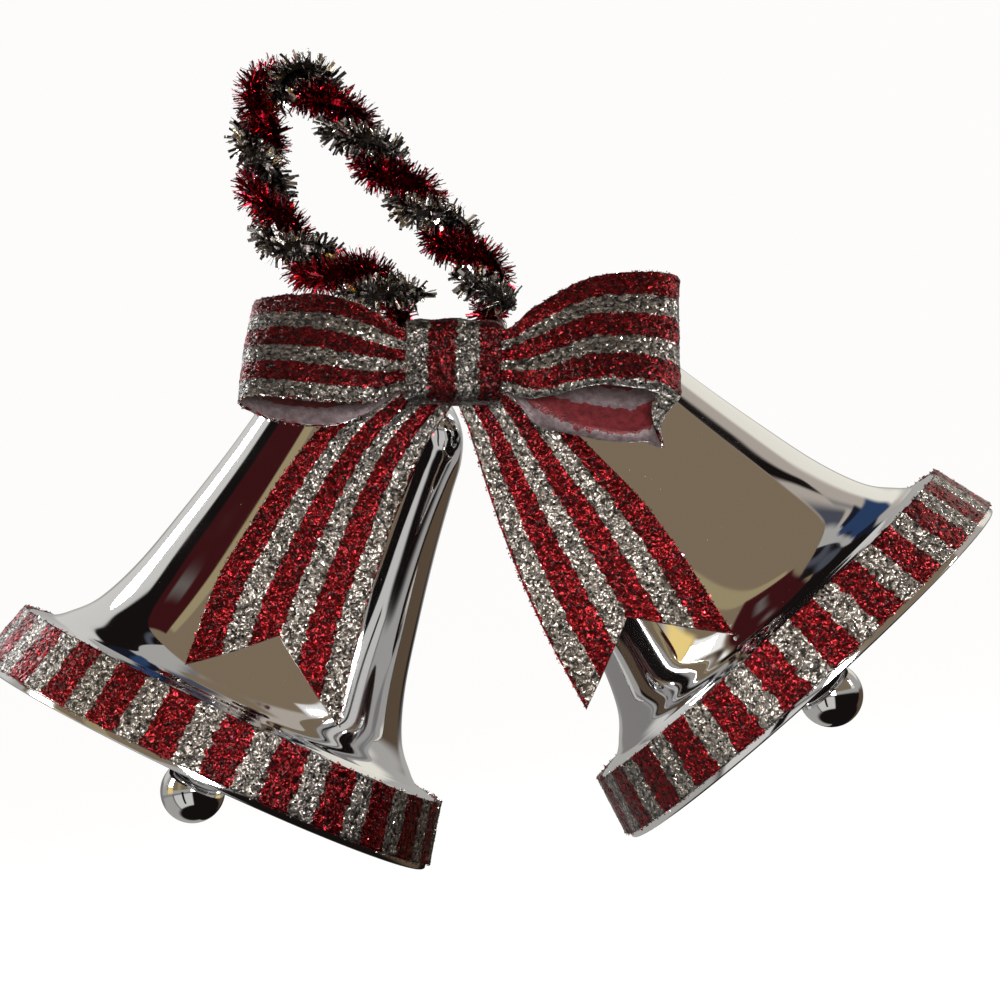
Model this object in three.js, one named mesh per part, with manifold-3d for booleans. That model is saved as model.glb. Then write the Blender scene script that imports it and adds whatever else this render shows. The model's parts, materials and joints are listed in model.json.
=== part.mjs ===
// A double bell Christmas ornament: two mirror-silver bells splayed apart below one tie, a striped
// ribbon bow in front of them, and a loop of two twisted tinsel strands to hang it by.
// Millimetres, +Z up, the bow in front at -Y. The two bells are mirror images of each other in the
// plane X = 0 of the working frame, whose zero is the point where their axes cross. At the end the
// whole ornament is moved so that its origin is the top of the inside of the tinsel loop.

import * as THREE from 'three';
import { mergeVertices } from 'three/addons/utils/BufferGeometryUtils.js';
import Module from 'manifold-3d';

const wasm = await Module();
wasm.setup();

const DEG = Math.PI / 180;
const GAP = 0.3; // left between pieces that touch

// Bells
const MOUTH_RADIUS = 60;
const LIP_HEIGHT = 16.4;
const LIP_TAPER = 4.4; // the lip is narrower at its top by this much, in radius
const BELL_HEIGHT = 110.3;
const SHELL_WALL = 1.3;
const CROWN_HOLE = 1.5;
const AXIS_LENGTH = 136.3; // mouth plane to the point where the two axes cross
const SPREAD = 33.85 * DEG; // each axis from the vertical
const BAND_FOOT = 1.8; // bare lip below the ribbon
const BAND_THICKNESS = 1.2;

// Wire work inside and above a bell; heights are above the mouth plane
const PIN_WIRE = 0.8; // wire radius of pin and stem
const EYE_RADIUS = 3; // centre line of every eye
const PIVOT_HEIGHT = 119; // centre of the tie wire in the upper eye
const TIE_WIRE = 0.6;
const LOWER_EYE_HEIGHT = 102.5;
const LINK_WIRE = 0.7;
const LINK_RADIUS = 4;
const BALL_RADIUS = 8;
const BALL_DROP = 7.2; // centre of the ball below the mouth plane
const BALL_BORE = 6.2;

// Bow
const RIBBON_WIDTH = 38.1;
const RIBBON_THICKNESS = 0.9;
const BOW_TILT = 9.45 * DEG; // the bow's right side hangs lower
const KNOT = new THREE.Vector3(-0.5, -37.5, -28.4);
const KNOT_WIDTH = 22;
const KNOT_HEIGHT = 20.4;
const KNOT_DEPTH = 12;
const SWING = 20; // degrees that each bell can swing outward
const TAIL_CLEARANCE = 2.2; // tails in front of the bells
const TAIL_FRONT = 28.6; // the hidden top of the tails, in front of the axes
const FOLD_RADIUS = 0.75;
const NOTCH_DEPTH = 16;

// Tinsel loop
const STRAND_RADIUS = 3.35;
const STRAND_OFFSET = 4.15; // each strand from the centre line of the twisted pair
const STRAND_PITCH = 27;
const HANG_POINT = new THREE.Vector3(-31.5, 0, 47); // inside of the loop at its top

// Centre line of the twisted pair, from the tie up the left side, over the top and down the right.
const LOOP_ROUTE = [
  [-11.6, -15, -8.2],
  [-19.4, -13, -1.6],
  [-29.6, -10, 4],
  [-36.8, -7, 11.8],
  [-40.4, -4, 21.8],
  [-41, -2, 33],
  [-40.6, 0, 43.4],
  [-38.6, 0, 51.4],
  [-33.2, 0, 55.6],
  [-26.4, 0, 53.2],
  [-18.8, -1, 42.4],
  [-10.4, -3, 28.6],
  [-2.6, -6, 16.8],
  [4.4, -9, 6],
  [9.4, -12, -3.4],
  [11.6, -15, -11.4],
];

// Half of a bow loop as stations: out from the knot, forward of its centre, up, lean of the ribbon's
// top edge away from the viewer in degrees, half width. The ribbon is gathered at the knot.
const LEFT_LOOP = [
  [0, 3.2, 0, 0, 7.3],
  [12, 3.3, -0.3, 6, 7.4],
  [20, 5.5, 0.4, 25, 13],
  [32, 7, 2.1, 38.5, 18],
  [42, 6.5, 2.7, 44, RIBBON_WIDTH / 2],
  [47.5, 4.8, 2.3, 45, RIBBON_WIDTH / 2],
  [49, 2.4, 1, 45, RIBBON_WIDTH / 2],
  [47, -0.2, -0.2, 44, RIBBON_WIDTH / 2],
  [41, -1.6, -1.6, 41, RIBBON_WIDTH / 2],
  [30, -1.6, -1.6, 34, 18],
  [20, -1.2, -0.6, 20, 13],
  [12, -0.5, 0, 6, 7.5],
  [0.8, 0.1, 0, 0, 7.3],
];
const RIGHT_LOOP = [
  [0, 3.2, 0, 0, 7.3],
  [12, 3.3, 0.2, 6, 7.4],
  [20, 6, 1.5, 21, 13.5],
  [32, 8.4, 5.6, 33.5, 18.3],
  [44, 8.6, 5.9, 31.5, RIBBON_WIDTH / 2],
  [50.5, 6.8, 4.9, 27, RIBBON_WIDTH / 2],
  [52.5, 3.6, 3.6, 26, RIBBON_WIDTH / 2],
  [50, 0, 0.4, 27, RIBBON_WIDTH / 2],
  [43, -1.7, -4.8, 27, RIBBON_WIDTH / 2],
  [30, -1.8, -3.9, 24, 18],
  [20, -1.2, -2.2, 14, 13],
  [12, -0.5, 0, 5, 7.5],
  [0.8, 0.1, 0, 0, 7.3],
];

// A tail as stations from the fold down: out from the knot, up from its centre, turn of the width in
// the ribbon's own plane in degrees, half width.
const LEFT_TAIL = [
  [-1.5, 3.5, 0, 7.4],
  [-8.5, -6, -8, 9],
  [-18.4, -16.2, -15, 11.9],
  [-25.6, -28.6, -18, 13.8],
  [-31.8, -43, -20, 15.9],
  [-38, -59.4, -21, 17.9],
  [-42.4, -79.2, -21.2, RIBBON_WIDTH / 2],
];
const RIGHT_TAIL = [
  [1.5, 3.5, 0, 7.4],
  [7.6, -4.6, 6, 8.5],
  [14.2, -13.1, 11.6, 10.7],
  [22.2, -26.6, 21, 14],
  [30.7, -40.8, 27, 17],
  [39.6, -56.2, 28, 18.6],
  [48.8, -72.1, 27.8, RIBBON_WIDTH / 2],
];

const FINISHES = {
  mirror: { color: 0xd9dadc, roughness: 0.04, metalness: 1 },
  chrome: { color: 0xcfd0d2, roughness: 0.08, metalness: 1 },
  wire: { color: 0x9fa1a4, roughness: 0.35, metalness: 1 },
  ribbon: { color: 0xb01822, roughness: 0.5, metalness: 0.5 },
  redTinsel: { color: 0x9c0f1c, roughness: 0.25, metalness: 0.9 },
  silverTinsel: { color: 0xc2c4c8, roughness: 0.22, metalness: 0.9 },
};

const vec = (x, y, z) => new THREE.Vector3(x, y, z);

function mesh(name, geometry, finish) {
  const made = new THREE.Mesh(geometry, new THREE.MeshStandardMaterial(FINISHES[finish]));
  made.name = name;
  return made;
}

// A profile of [radius, height] pairs turned round the Z axis.
function turned(profile, segments) {
  const points = profile.map(([radius, height]) => new THREE.Vector2(radius, height));
  return new THREE.LatheGeometry(points, segments).rotateX(Math.PI / 2);
}

// A round wire along a curve.
function wire(path, radius, steps, sides = 8) {
  const section = new THREE.Shape().absarc(0, 0, radius, 0, 2 * Math.PI);
  const curveSegments = sides / 2;
  return new THREE.ExtrudeGeometry(section, { steps, curveSegments, bevelEnabled: false, extrudePath: path });
}

// A closed ring about the Y axis, or about the X axis where across is true.
function ring(radius, wireRadius, height, across = false) {
  const torus = new THREE.TorusGeometry(radius, wireRadius, 8, 20);
  torus.rotateX(Math.PI / 2);
  if (across) torus.rotateZ(Math.PI / 2);
  return torus.translate(0, 0, height);
}

// A round rod on the Z axis between two heights.
function rod(radius, low, high) {
  const cylinder = new THREE.CylinderGeometry(radius, radius, high - low, 10);
  return cylinder.rotateX(Math.PI / 2).translate(0, 0, (low + high) / 2);
}

function toSolid(geometry) {
  const bare = geometry.clone();
  bare.deleteAttribute('normal');
  bare.deleteAttribute('uv');
  const merged = mergeVertices(bare, 1e-4);
  return new wasm.Manifold(
    new wasm.Mesh({
      numProp: 3,
      vertProperties: new Float32Array(merged.attributes.position.array),
      triVerts: new Uint32Array(merged.index.array),
    })
  );
}

function toGeometry(solid) {
  const { vertProperties, triVerts } = solid.getMesh();
  const geometry = new THREE.BufferGeometry();
  geometry.setAttribute('position', new THREE.BufferAttribute(vertProperties, 3));
  geometry.setIndex(new THREE.BufferAttribute(triVerts, 1));
  geometry.computeVertexNormals();
  return geometry;
}

const joined = (...geometries) =>
  toGeometry(geometries.map(toSolid).reduce((whole, next) => whole.add(next)));

// ---- Bells ----

// The bell's outside from the top of the lip to the crown, as one smooth curve.
const FLANK = new THREE.SplineCurve(
  [
    [49.6, 17.3],
    [46.6, 19.8],
    [41.4, 26],
    [36.6, 38],
    [32.4, 55],
    [28.8, 72],
    [26.2, 87],
    [24.8, 95.4],
    [21.6, 102.4],
    [15.4, 107.6],
    [7, 110],
  ].map(([radius, height]) => new THREE.Vector2(radius, height))
);
const FLANK_STEPS = 15;

// The outside radius of a bell at a height above its mouth plane.
function bellRadius(height) {
  const points = FLANK.getPoints(120);
  const next = points.findIndex((point) => point.y >= height);
  if (next < 0) return 0;
  if (next === 0) return points[0].x;
  const [low, high] = [points[next - 1], points[next]];
  return THREE.MathUtils.mapLinear(height, low.y, high.y, low.x, high.x);
}

// The outside radius of the conical lip at a height above the mouth plane.
const lipRadius = (height) => MOUTH_RADIUS - (LIP_TAPER * height) / LIP_HEIGHT;

function bellShell() {
  const outside = FLANK.getPoints(FLANK_STEPS);
  const inside = outside.map((point, i) => {
    const tangent = FLANK.getTangent(i / FLANK_STEPS);
    return new THREE.Vector2(point.x - tangent.y * SHELL_WALL, point.y + tangent.x * SHELL_WALL);
  });
  const chamfer = 0.8;
  const innerTop = LIP_HEIGHT - SHELL_WALL;
  return turned(
    [
      [lipRadius(0) - SHELL_WALL, 0],
      [lipRadius(0), 0],
      [lipRadius(LIP_HEIGHT - chamfer), LIP_HEIGHT - chamfer],
      [lipRadius(LIP_HEIGHT) - chamfer, LIP_HEIGHT],
      ...outside.map((point) => [point.x, point.y]),
      [CROWN_HOLE, BELL_HEIGHT],
      [CROWN_HOLE, BELL_HEIGHT - SHELL_WALL],
      ...inside.reverse().map((point) => [point.x, point.y]),
      [lipRadius(innerTop) - SHELL_WALL, innerTop],
      [lipRadius(0) - SHELL_WALL, 0],
    ],
    40
  );
}

function rimBand() {
  const [foot, top] = [lipRadius(BAND_FOOT) + GAP, lipRadius(LIP_HEIGHT) + GAP];
  return turned(
    [
      [foot, BAND_FOOT],
      [foot + BAND_THICKNESS, BAND_FOOT],
      [top + BAND_THICKNESS, LIP_HEIGHT],
      [top, LIP_HEIGHT],
      [foot, BAND_FOOT],
    ],
    66
  );
}

function crownCap() {
  const foot = BELL_HEIGHT + GAP;
  return turned(
    [
      [CROWN_HOLE, foot],
      [6.4, foot],
      [6.2, foot + 0.9],
      [4.4, foot + 1.7],
      [2.9, foot + 2.6],
      [CROWN_HOLE, foot + 2.8],
      [CROWN_HOLE, foot],
    ],
    20
  );
}

function retainingWasher() {
  const top = BELL_HEIGHT - SHELL_WALL - 2 * GAP;
  return turned(
    [
      [CROWN_HOLE, top - 1],
      [5.5, top - 1],
      [5.5, top],
      [CROWN_HOLE, top],
      [CROWN_HOLE, top - 1],
    ],
    20
  );
}

// The tie wire bears on the top of the upper eye.
const UPPER_EYE_HEIGHT = PIVOT_HEIGHT + TIE_WIRE + GAP + PIN_WIRE - EYE_RADIUS;
const LINK_TOP = LOWER_EYE_HEIGHT - EYE_RADIUS + PIN_WIRE + GAP + LINK_WIRE;
const LINK_FOOT = LINK_TOP - 2 * LINK_RADIUS;
const STEM_EYE_TOP = LINK_FOOT + LINK_WIRE + GAP + PIN_WIRE;
const STEM_EYE_HEIGHT = STEM_EYE_TOP - EYE_RADIUS;

function eyePin() {
  const low = LOWER_EYE_HEIGHT + EYE_RADIUS - PIN_WIRE / 2;
  const high = UPPER_EYE_HEIGHT - EYE_RADIUS + PIN_WIRE / 2;
  return joined(
    ring(EYE_RADIUS, PIN_WIRE, UPPER_EYE_HEIGHT),
    rod(PIN_WIRE, low, high),
    ring(EYE_RADIUS, PIN_WIRE, LOWER_EYE_HEIGHT)
  );
}

function clapperLink() {
  return ring(LINK_RADIUS, LINK_WIRE, LINK_TOP - LINK_RADIUS, true);
}

const BORE_FLOOR = BALL_RADIUS - BALL_DROP - BALL_BORE;

function clapperStem() {
  const high = STEM_EYE_HEIGHT - EYE_RADIUS + PIN_WIRE / 2;
  return joined(ring(EYE_RADIUS, PIN_WIRE, STEM_EYE_HEIGHT), rod(PIN_WIRE, BORE_FLOOR + GAP, high));
}

function clapperBall() {
  const bore = PIN_WIRE + GAP;
  const start = Math.asin(bore / BALL_RADIUS);
  const arc = [];
  for (let i = 0; i <= 12; i++) {
    const angle = THREE.MathUtils.lerp(Math.PI, start, i / 12);
    arc.push([BALL_RADIUS * Math.sin(angle), BALL_RADIUS * Math.cos(angle) - BALL_DROP]);
  }
  arc[0][0] = 0;
  return turned([...arc, [bore, BORE_FLOOR], [0, BORE_FLOOR]], 16);
}

// Everything that belongs to one bell, placed on its leaning axis. side is -1 for the left bell.
function bell(side, word) {
  const group = new THREE.Group();
  group.rotation.y = -side * SPREAD;
  group.position.set(side * AXIS_LENGTH * Math.sin(SPREAD), 0, -AXIS_LENGTH * Math.cos(SPREAD));
  group.add(
    mesh(`bell_shell_${word}`, bellShell(), 'mirror'),
    mesh(`rim_band_${word}`, rimBand(), 'ribbon'),
    mesh(`crown_cap_${word}`, crownCap(), 'chrome'),
    mesh(`eye_pin_${word}`, eyePin(), 'wire'),
    mesh(`retaining_washer_${word}`, retainingWasher(), 'wire'),
    mesh(`clapper_link_${word}`, clapperLink(), 'wire'),
    mesh(`clapper_stem_${word}`, clapperStem(), 'wire'),
    mesh(`clapper_ball_${word}`, clapperBall(), 'chrome')
  );
  return group;
}

// ---- Bow ----

// A point of the bow: right of the knot's centre, forward of it, and above it, in the bow's own lean.
function bowPoint(right, forward, up) {
  return vec(right, -forward, up).applyAxisAngle(vec(0, 1, 0), BOW_TILT).add(KNOT);
}

// A direction in the bow's own lean.
function bowDirection(right, forward, up) {
  return vec(right, -forward, up).applyAxisAngle(vec(0, 1, 0), BOW_TILT);
}

// Rows of numbers drawn out to a smooth series, column by column.
function smoothRows(rows, steps) {
  const columns = rows[0].map((_, column) => rows.map((row) => row[column]));
  const made = [];
  for (let i = 0; i <= steps; i++) {
    made.push(columns.map((column) => catmull(column, (i / steps) * (rows.length - 1))));
  }
  return made;
}

function catmull(values, at) {
  const i = Math.min(Math.floor(at), values.length - 2);
  const t = at - i;
  const [b, c] = [values[i], values[i + 1]];
  const a = values[i - 1] ?? 2 * b - c;
  const d = values[i + 2] ?? 2 * c - b;
  const [slopeB, slopeC] = [(c - a) / 2, (d - b) / 2];
  return b + t * (slopeB + t * (3 * (c - b) - 2 * slopeB - slopeC + t * (2 * (b - c) + slopeB + slopeC)));
}

// A flat strip through stations { centre, across, half }: across is the unit direction of the width.
function strip(stations, thickness) {
  const positions = [];
  stations.forEach(({ centre, across, half }, i) => {
    const ahead = stations[Math.min(i + 1, stations.length - 1)].centre;
    const behind = stations[Math.max(i - 1, 0)].centre;
    const normal = vec(0, 0, 0).subVectors(ahead, behind).cross(across).normalize();
    for (const [edge, face] of [[-1, -1], [1, -1], [1, 1], [-1, 1]]) {
      const corner = centre.clone().addScaledVector(across, edge * half);
      corner.addScaledVector(normal, (face * thickness) / 2);
      positions.push(corner.x, corner.y, corner.z);
    }
  });
  const index = [0, 2, 1, 0, 3, 2];
  for (let i = 0; i + 1 < stations.length; i++) {
    for (let k = 0; k < 4; k++) {
      const [a, b] = [4 * i + k, 4 * i + ((k + 1) % 4)];
      index.push(a, b, b + 4, a, b + 4, a + 4);
    }
  }
  const last = 4 * (stations.length - 1);
  index.push(last, last + 1, last + 2, last, last + 2, last + 3);
  const geometry = new THREE.BufferGeometry();
  geometry.setAttribute('position', new THREE.Float32BufferAttribute(positions, 3));
  geometry.setIndex(index);
  geometry.computeVertexNormals();
  return geometry;
}

// The stations of one bow loop, from the front of the knot round to its back.
function loopStations(rows, side) {
  return smoothRows(rows, 30).map(([out, forward, up, lean, half]) => ({
    centre: bowPoint(side * out, forward, up),
    across: bowDirection(0, -Math.sin(lean * DEG), Math.cos(lean * DEG)),
    half,
  }));
}

function bowLoops() {
  const left = loopStations(LEFT_LOOP, -1).reverse();
  const right = loopStations(RIGHT_LOOP, 1).slice(1);
  return strip([...left, ...right], RIBBON_THICKNESS);
}

// How far in front of the axes a tail lies: in front of its bell, wherever the bell swings.
function tailForward(centre, across, half, side) {
  const eye = pivot(side);
  let front = TAIL_FRONT;
  for (const edge of [-1, -0.5, 0, 0.5, 1]) {
    for (let swing = 0; swing <= SWING; swing += SWING / 4) {
      const point = centre.clone().addScaledVector(across, edge * half).sub(eye);
      point.applyAxisAngle(vec(0, 1, 0), side * (SPREAD + swing * DEG));
      const radius = bellRadius(PIVOT_HEIGHT + point.z);
      const face = Math.sqrt(Math.max(0, radius ** 2 - point.x ** 2));
      front = Math.max(front, face + TAIL_CLEARANCE);
    }
  }
  return front;
}

function pivot(side) {
  const down = AXIS_LENGTH - PIVOT_HEIGHT;
  return vec(side * down * Math.sin(SPREAD), 0, -down * Math.cos(SPREAD));
}

function tailStations(rows, side, back) {
  return smoothRows(rows, 24).map(([right, up, turn, half]) => {
    const centre = bowPoint(right, 0, up);
    const across = bowDirection(Math.cos(turn * DEG), 0, Math.sin(turn * DEG));
    centre.y = -tailForward(centre, across, half, side) + back;
    return { centre, across, half };
  });
}

// The wedge cut out of the end of a tail, pointing back up it.
function notch({ centre, across, half }) {
  const down = bowDirection(0, 0, -1);
  down.addScaledVector(across, -down.dot(across)).normalize();
  const middle = centre.clone().addScaledVector(down, 0.5);
  const outline = new THREE.Shape();
  outline.moveTo(-half, 1);
  outline.lineTo(half, 1);
  outline.lineTo(half, 0);
  outline.lineTo(0, -NOTCH_DEPTH);
  outline.lineTo(-half, 0);
  outline.closePath();
  const wedge = new THREE.ExtrudeGeometry(outline, { depth: 20, bevelEnabled: false }).translate(0, 0, -10);
  const forward = vec(0, 0, 0).crossVectors(across, down);
  return wedge.applyMatrix4(new THREE.Matrix4().makeBasis(across, down, forward).setPosition(middle));
}

function bowTails() {
  const left = tailStations(LEFT_TAIL, -1, 0).reverse();
  const right = tailStations(RIGHT_TAIL, 1, -2 * FOLD_RADIUS);
  const [from, to] = [left[left.length - 1], right[0]];
  const fold = [0.25, 0.5, 0.75].map((t) => {
    const centre = from.centre.clone().lerp(to.centre, (1 - Math.cos(t * Math.PI)) / 2);
    centre.z += 2 * FOLD_RADIUS * Math.sin(t * Math.PI);
    return { centre, across: from.across, half: from.half };
  });
  const whole = toSolid(strip([...left, ...fold, ...right], RIBBON_THICKNESS));
  return toGeometry(whole.subtract(toSolid(notch(left[0]))).subtract(toSolid(notch(right[right.length - 1]))));
}

// The wrap round the bow's waist: a rounded band, open left and right.
function bowKnot() {
  const outline = roundedOutline(KNOT_DEPTH, KNOT_HEIGHT, 4);
  outline.holes.push(roundedOutline(KNOT_DEPTH - 2 * RIBBON_THICKNESS, KNOT_HEIGHT - 2 * RIBBON_THICKNESS, 3.1));
  const band = new THREE.ExtrudeGeometry(outline, { depth: KNOT_WIDTH, bevelEnabled: false, curveSegments: 5 });
  band.translate(0, 0, -KNOT_WIDTH / 2);
  const basis = new THREE.Matrix4().makeBasis(bowDirection(0, -1, 0), bowDirection(0, 0, 1), bowDirection(1, 0, 0));
  return band.applyMatrix4(basis.setPosition(KNOT));
}

function roundedOutline(width, height, radius) {
  const [x, y] = [width / 2 - radius, height / 2 - radius];
  const outline = new THREE.Shape();
  outline.absarc(x, y, radius, 0, Math.PI / 2);
  outline.absarc(-x, y, radius, Math.PI / 2, Math.PI);
  outline.absarc(-x, -y, radius, Math.PI, 1.5 * Math.PI);
  outline.absarc(x, -y, radius, 1.5 * Math.PI, 2 * Math.PI);
  return outline;
}

// One wire: across the bow's waist inside the knot, back through both eyes, twisted together behind.
function tieWire() {
  const twist = 1.1;
  const turns = [0, 1, 2, 3, 4, 5];
  const leg = (side) => {
    const eye = pivot(side);
    const ends = turns.map((i) => {
      const angle = i * (Math.PI / 2) + (side > 0 ? 0 : Math.PI);
      return vec(twist * Math.cos(angle), 19 - 1.8 * (5 - i), eye.z - 1 + twist * Math.sin(angle));
    });
    const out = bowPoint(side * 13.4, -4.4, 0);
    return [
      ...ends.reverse(),
      vec(side * 6.5, 7.4, eye.z),
      vec(eye.x, 4, eye.z),
      vec(eye.x, 0, eye.z),
      vec(eye.x, -4, eye.z),
      vec(side * 12.4, -18, eye.z - 3.5),
      out,
      bowPoint(side * 9, -3.4, 0),
    ];
  };
  const route = [...leg(-1), bowPoint(0, -3.2, 0), ...leg(1).reverse()];
  return wire(new THREE.CatmullRomCurve3(route), TIE_WIRE, 84, 6);
}

// ---- Tinsel ----

const loopCentre = new THREE.CatmullRomCurve3(LOOP_ROUTE.map((point) => vec(...point)));

// One strand winding round the centre line of the pair.
class Strand extends THREE.Curve {
  constructor(phase) {
    super();
    this.phase = phase;
  }

  getPoint(t) {
    const side = vec(0, 1, 0);
    const out = loopCentre.getTangentAt(t).cross(side).normalize();
    const angle = (2 * Math.PI * t * loopCentre.getLength()) / STRAND_PITCH + this.phase;
    const point = loopCentre.getPointAt(t);
    point.addScaledVector(out, STRAND_OFFSET * Math.cos(angle));
    return point.addScaledVector(side, STRAND_OFFSET * Math.sin(angle));
  }
}

const tinsel = (phase) => wire(new Strand(phase), STRAND_RADIUS, 68);

// ---- The ornament ----

const ornament = new THREE.Group();
ornament.add(
  bell(-1, 'left'),
  bell(1, 'right'),
  mesh('tie_wire', tieWire(), 'wire'),
  mesh('bow_loops', bowLoops(), 'ribbon'),
  mesh('bow_tails', bowTails(), 'ribbon'),
  mesh('bow_knot', bowKnot(), 'ribbon'),
  mesh('tinsel_strand_red', tinsel(0), 'redTinsel'),
  mesh('tinsel_strand_silver', tinsel(Math.PI), 'silverTinsel')
);
ornament.position.copy(HANG_POINT).negate();

export default ornament;
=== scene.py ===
import json
import math

import bpy
import numpy as np
from mathutils import Matrix, Vector

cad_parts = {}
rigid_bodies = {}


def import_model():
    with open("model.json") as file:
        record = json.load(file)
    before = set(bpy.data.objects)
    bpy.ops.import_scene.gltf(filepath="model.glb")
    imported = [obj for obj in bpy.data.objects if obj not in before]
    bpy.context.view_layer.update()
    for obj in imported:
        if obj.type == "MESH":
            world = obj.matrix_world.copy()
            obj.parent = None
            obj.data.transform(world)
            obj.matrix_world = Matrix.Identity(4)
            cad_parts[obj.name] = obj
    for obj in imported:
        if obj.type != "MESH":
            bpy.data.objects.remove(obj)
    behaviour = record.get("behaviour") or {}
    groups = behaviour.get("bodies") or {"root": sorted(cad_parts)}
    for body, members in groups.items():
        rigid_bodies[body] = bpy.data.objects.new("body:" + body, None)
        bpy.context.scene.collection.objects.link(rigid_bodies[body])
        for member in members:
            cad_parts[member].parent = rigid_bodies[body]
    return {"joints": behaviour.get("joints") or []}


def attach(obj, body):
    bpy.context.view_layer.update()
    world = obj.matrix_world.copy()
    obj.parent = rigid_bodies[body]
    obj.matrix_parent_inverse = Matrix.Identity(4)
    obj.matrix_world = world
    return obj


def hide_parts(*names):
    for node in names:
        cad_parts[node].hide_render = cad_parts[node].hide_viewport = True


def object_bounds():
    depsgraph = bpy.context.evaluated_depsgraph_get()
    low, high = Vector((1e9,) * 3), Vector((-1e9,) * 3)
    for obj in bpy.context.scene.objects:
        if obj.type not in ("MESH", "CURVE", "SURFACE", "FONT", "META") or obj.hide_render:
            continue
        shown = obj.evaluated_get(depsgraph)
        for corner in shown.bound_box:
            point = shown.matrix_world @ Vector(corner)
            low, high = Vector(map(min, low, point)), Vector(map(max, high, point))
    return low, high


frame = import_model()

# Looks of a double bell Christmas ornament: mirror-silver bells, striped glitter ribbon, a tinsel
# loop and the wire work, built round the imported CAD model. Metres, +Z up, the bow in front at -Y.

CAD_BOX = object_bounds()
MM = 0.001
RNG = np.random.default_rng(24)
Y_AXIS, Z_AXIS = np.eye(3)[1:]

# ---- Places taken from the frame ----

JOINTS = {joint["name"]: joint for joint in frame["joints"]}
SIDES = ("left", "right")
PIVOT = {side: np.array(JOINTS[f"bell_swing_{side}"]["pos_m"], float) for side in SIDES}
ON_AXIS = {side: np.array(JOINTS[f"clapper_to_and_fro_{side}"]["pos_m"], float) for side in SIDES}
PIVOT_HEIGHT = 119 * MM  # of the tie wire in the upper eye, above the mouth plane
PIVOT_TO_CROSSING = 17.3 * MM


def unit(v):
    v = np.asarray(v, float)
    return v / np.linalg.norm(v, axis=-1, keepdims=True)


UP_AXIS = {side: unit(PIVOT[side] - ON_AXIS[side]) for side in SIDES}
MOUTH = {side: PIVOT[side] - UP_AXIS[side] * PIVOT_HEIGHT for side in SIDES}
CROSSING = PIVOT["left"] + UP_AXIS["left"] * PIVOT_TO_CROSSING  # where the two bells' axes cross


def frame_matrix(axes, origin):
    """From a frame with these axes and this origin to the row frame."""
    matrix = Matrix.Identity(4)
    for column, direction in enumerate(axes):
        for row in range(3):
            matrix[row][column] = direction[row]
    matrix.translation = Vector(origin)
    return matrix


def bell_matrix(side):
    """From a bell's own frame, +Z up its axis from the mouth plane, to the row frame."""
    up = UP_AXIS[side]
    return frame_matrix((np.cross(Y_AXIS, up), Y_AXIS, up), MOUTH[side])


# ---- Camera ----

FOCUS = CROSSING + np.array([5.9, 0, -59.0]) * MM  # middle of the view, in the plane of the axes
VIEW_DISTANCE = 600 * MM
VIEW_WIDTH = 250 * MM
VIEW_ROLL = math.radians(8.5)  # the ornament leans to the left in the view
VIEW_RISE = math.radians(5)  # the camera looks up a little
SENSOR = 36


def make_camera():
    right = np.array([math.cos(VIEW_ROLL), 0, -math.sin(VIEW_ROLL)])
    level_up = np.array([math.sin(VIEW_ROLL), 0, math.cos(VIEW_ROLL)])
    forward = math.cos(VIEW_RISE) * Y_AXIS + math.sin(VIEW_RISE) * level_up
    up = np.cross(right, forward)
    data = bpy.data.cameras.new("camera")
    data.sensor_width = SENSOR
    data.lens = SENSOR * VIEW_DISTANCE / VIEW_WIDTH
    data.clip_start, data.clip_end = 0.01, 20
    camera = bpy.data.objects.new("camera", data)
    camera.matrix_world = frame_matrix((right, up, -forward), FOCUS - forward * VIEW_DISTANCE)
    bpy.context.scene.collection.objects.link(camera)
    bpy.context.scene.camera = camera


# ---- Mesh helpers ----


def mesh_object(
    name, points, faces, materials, face_material=None, uv=None, tint=None, smooth=True, period=0
):
    """A mesh from arrays: points, faces of one size or a list of them, and a UV and a tint per point.
    Where period is given, the UV's first number starts again after that many."""
    groups = faces if isinstance(faces, list) else [faces]
    sizes = np.concatenate([np.full(len(group), group.shape[1]) for group in groups])
    corners = np.concatenate([group.reshape(-1) for group in groups]).astype(np.int32)
    data = bpy.data.meshes.new(name)
    data.vertices.add(len(points))
    data.vertices.foreach_set("co", np.asarray(points, np.float32).reshape(-1))
    data.loops.add(len(corners))
    data.loops.foreach_set("vertex_index", corners)
    data.polygons.add(len(sizes))
    starts = np.concatenate([[0], np.cumsum(sizes)[:-1]]).astype(np.int32)
    data.polygons.foreach_set("loop_start", starts)
    if face_material is not None:
        data.polygons.foreach_set("material_index", np.asarray(face_material, np.int32))
    if uv is not None:
        layer = data.uv_layers.new(name="ribbon")
        corner_uv = np.array(uv, np.float32)[corners]
        if period:
            highest = np.repeat(np.maximum.reduceat(corner_uv[:, 0], starts), sizes)
            corner_uv[highest - corner_uv[:, 0] > period / 2, 0] += period
        layer.uv.foreach_set("vector", corner_uv.reshape(-1))
    if tint is not None:
        attribute = data.attributes.new("tint", "FLOAT", "POINT")
        attribute.data.foreach_set("value", np.asarray(tint, np.float32))
    data.update(calc_edges=True)
    data.validate()
    smooth_faces = np.full(len(data.polygons), smooth) if np.isscalar(smooth) else smooth
    data.polygons.foreach_set("use_smooth", smooth_faces)
    for material in materials:
        data.materials.append(material)
    made = bpy.data.objects.new(name, data)
    bpy.context.scene.collection.objects.link(made)
    return made


def grid_faces(rows, columns, wrap_rows=False, wrap_columns=False):
    """Quads of a grid of points numbered row by row."""
    i = np.arange(rows if wrap_rows else rows - 1)
    j = np.arange(columns if wrap_columns else columns - 1)
    i, j = np.meshgrid(i, j, indexing="ij")
    below, beside = (i + 1) % rows, (j + 1) % columns
    corners = [i * columns + j, i * columns + beside, below * columns + beside, below * columns + j]
    return np.stack(corners, -1).reshape(-1, 4)


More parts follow.
